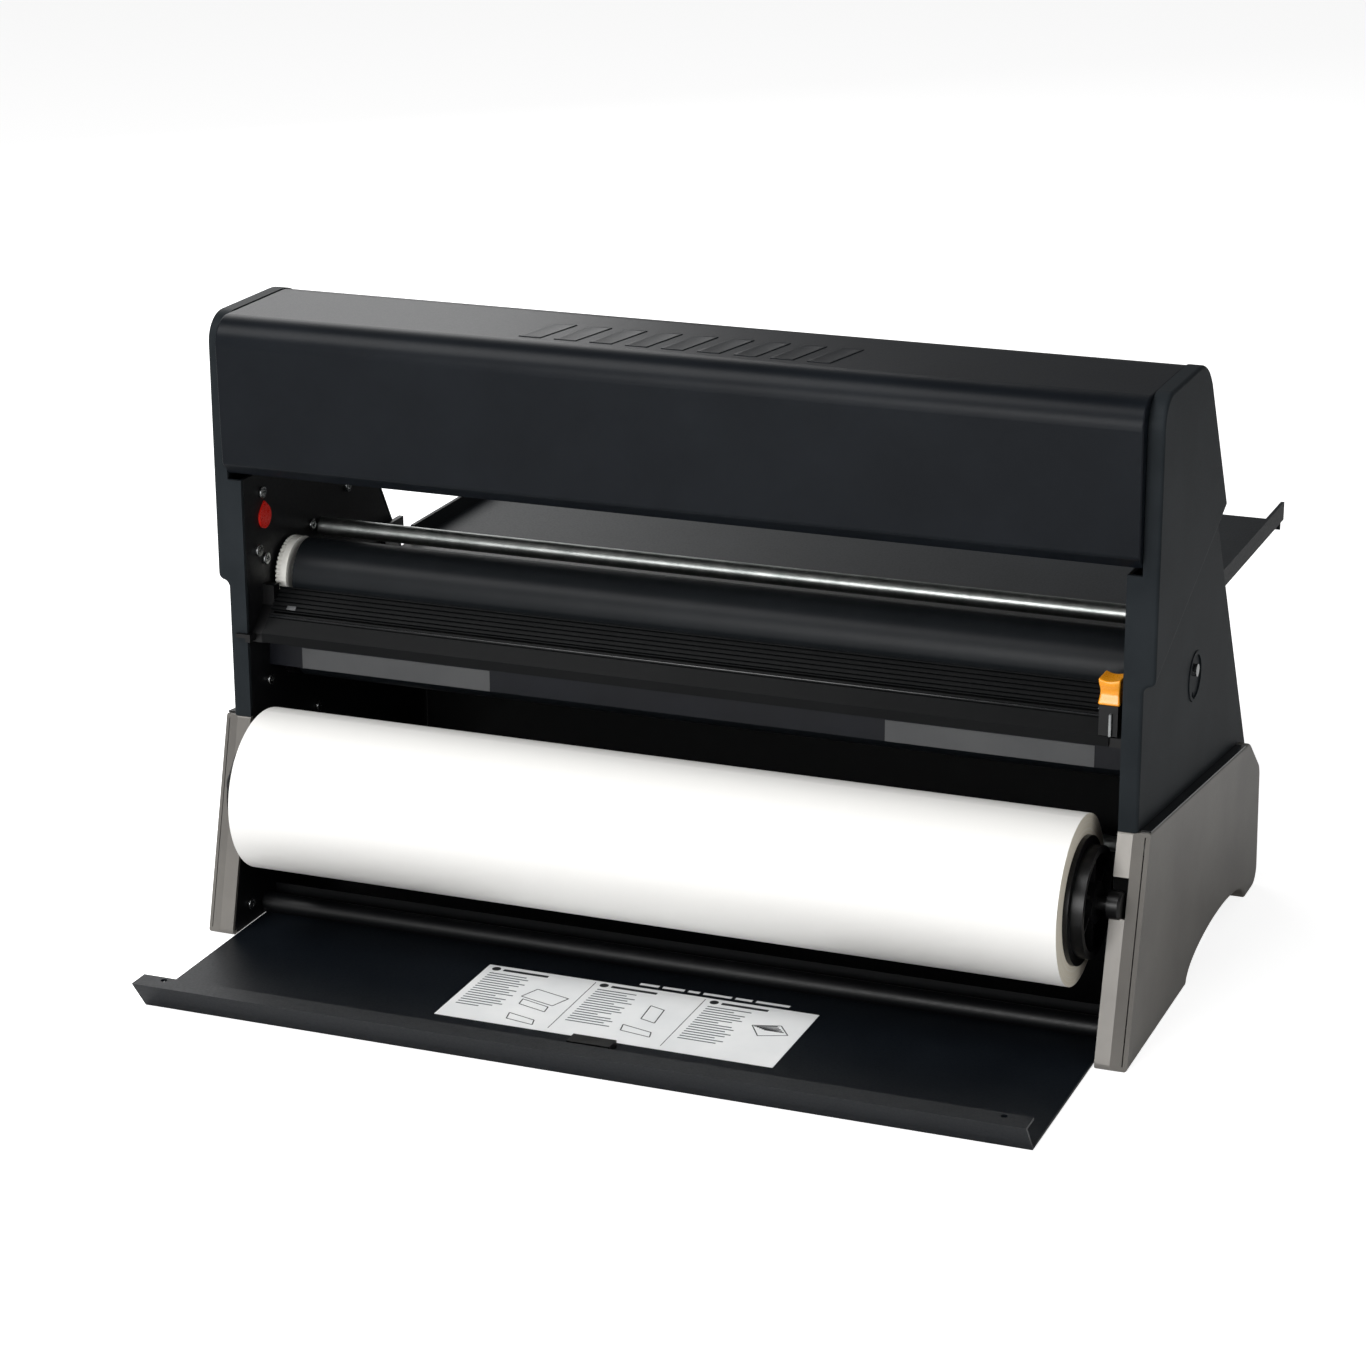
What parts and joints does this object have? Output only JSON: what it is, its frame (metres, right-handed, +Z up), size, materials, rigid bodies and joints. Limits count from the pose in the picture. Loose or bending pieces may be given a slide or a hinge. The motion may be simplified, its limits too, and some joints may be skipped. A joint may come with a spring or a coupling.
{
  "type": "cold roll laminator",
  "caption": "Hand-cranked tabletop cold laminator with a hood over the upper film roll, laminating rollers, sliding film cutter, drop-down door, lower film roll and feed tray.",
  "frame": {"origin": "on the table, at the middle of the base covers' footprint and of the gap between the side plates", "axes": "+X across the machine to the right as seen from the door side, +Y towards the feed tray, +Z up"},
  "size_m": [0.7956, 0.7666, 0.472],
  "materials": {
    "cover_plastic": "moulded charcoal plastic, fine texture",
    "base_plastic": "metallic grey moulded plastic",
    "plate_enamel": "black powder coat",
    "hood_enamel": "textured black plastic",
    "dark_trim": "black gloss",
    "pad_rubber": "black, matt",
    "zinc_steel": "zinc plated",
    "bright_steel": "bright steel",
    "film": "white film wound in a roll",
    "card": "wound card",
    "plug_plastic": "black moulded",
    "roller_rubber": "black silicone rubber, satin",
    "white_plastic": "white acetal",
    "rail_plastic": "black ribbed extrusion",
    "strip_enamel": "dark blue-grey enamel",
    "knob_orange": "orange-yellow",
    "label": "printed vinyl",
    "strip_label": "grey vinyl",
    "red_plastic": "red",
    "door_enamel": "black powder coat",
    "tray_enamel": "charcoal powder coat"
  },
  "bodies": {
    "machine": {"left_side_plate": "plate_enamel", "right_side_plate": "plate_enamel", "left_base_cover": "base_plastic", "right_base_cover": "base_plastic", "left_upper_cover": "cover_plastic", "right_upper_cover": "cover_plastic", "foot_pads": "pad_rubber", "ledge_trims": "dark_trim", "rear_rail": "plate_enamel", "hood_hinge_pins": "bright_steel", "roller_bushes": "plug_plastic", "idler_pins": "bright_steel", "tie_bars": "zinc_steel", "bar_bolts": "bright_steel", "plate_screws": "bright_steel", "side_boss": "cover_plastic", "boss_bolt": "bright_steel", "red_drop": "red_plastic", "door_hinge_pins": "bright_steel", "cutter_rail": "rail_plastic", "rail_brackets": "plug_plastic", "exit_plate": "strip_enamel", "exit_labels": "strip_label", "infeed_table": "tray_enamel", "table_brackets": "zinc_steel", "tray_pins": "bright_steel", "base_pan": "zinc_steel", "rear_panel": "plate_enamel", "upper_roll_axle": "bright_steel"},
    "hood": {"hood": "hood_enamel"},
    "door": {"door": "door_enamel", "door_hinge_tube": "plate_enamel", "door_label": "label", "door_catch": "plug_plastic"},
    "lower_axle": {"lower_roll_axle": "plug_plastic"},
    "lower_roll": {"lower_roll_film": "film", "lower_roll_core": "card", "lower_roll_plugs": "plug_plastic"},
    "upper_roll": {"upper_roll_film": "film", "upper_roll_core": "card", "upper_roll_plugs": "plug_plastic"},
    "upper_roller": {"upper_roller_shaft": "bright_steel", "upper_roller_rubber": "roller_rubber", "upper_roller_collar": "white_plastic", "upper_drive_gear": "white_plastic"},
    "lower_roller": {"lower_roller_shaft": "bright_steel", "lower_roller_rubber": "roller_rubber", "lower_roller_collar": "plug_plastic", "lower_drive_gear": "white_plastic", "crank_arm": "zinc_steel", "crank_grip_pin": "bright_steel"},
    "crank_grip": {"crank_grip": "plug_plastic"},
    "upper_idler": {"upper_idler_bar": "zinc_steel"},
    "lower_idler": {"lower_idler_bar": "zinc_steel"},
    "cutter": {"cutter_carriage": "plug_plastic", "cutter_knob": "knob_orange", "cutter_blade": "bright_steel", "cutter_pin": "bright_steel"},
    "tray": {"feed_tray": "tray_enamel"}
  },
  "joints": [
    {"name": "door_hinge", "type": "hinge", "parent": "machine", "child": "door", "pos_m": [0, -0.142, 0.0083], "axis": [-1, 0, 0], "range_deg": [0, 90]},
    {"name": "hood_hinge", "type": "hinge", "parent": "machine", "child": "hood", "pos_m": [0, 0.0405, 0.3485], "axis": [-1, 0, 0], "range_deg": [0, 65]},
    {"name": "tray_fold", "type": "hinge", "parent": "machine", "child": "tray", "pos_m": [0, 0.101, 0.2405], "axis": [1, 0, 0], "range_deg": [0, 75]},
    {"name": "lower_roll_slide", "type": "slide", "parent": "machine", "child": "lower_axle", "axis": [0, 1, 0], "range_m": [0, 0.09]},
    {"name": "lower_roll_spin", "type": "hinge", "parent": "lower_axle", "child": "lower_roll", "pos_m": [0, -0.17, 0.1146], "axis": [1, 0, 0], "continuous": true},
    {"name": "upper_roll_spin", "type": "hinge", "parent": "machine", "child": "upper_roll", "pos_m": [0, -0.085, 0.405], "axis": [1, 0, 0], "continuous": true},
    {"name": "lower_roller_spin", "type": "hinge", "parent": "machine", "child": "lower_roller", "pos_m": [0, -0.084, 0.2057], "axis": [1, 0, 0], "continuous": true},
    {"name": "upper_roller_spin", "type": "hinge", "parent": "machine", "child": "upper_roller", "pos_m": [0, -0.084, 0.26], "axis": [1, 0, 0], "continuous": true},
    {"name": "crank_grip_spin", "type": "hinge", "parent": "lower_roller", "child": "crank_grip", "pos_m": [-0.4, 0.071, 0.2057], "axis": [1, 0, 0], "continuous": true},
    {"name": "upper_idler_spin", "type": "hinge", "parent": "machine", "child": "upper_idler", "pos_m": [0, -0.029, 0.28], "axis": [1, 0, 0], "continuous": true},
    {"name": "lower_idler_spin", "type": "hinge", "parent": "machine", "child": "lower_idler", "pos_m": [0, -0.027, 0.205], "axis": [1, 0, 0], "continuous": true},
    {"name": "cutter_slide", "type": "slide", "parent": "machine", "child": "cutter", "axis": [1, 0, 0], "range_m": [-0.64, 0]}
  ],
  "couplings": [
    {"joint": "lower_roll_slide", "follows": "door_hinge", "m_per_rad": 0.05729},
    {"joint": "upper_roller_spin", "follows": "lower_roller_spin", "ratio": -1}
  ]
}
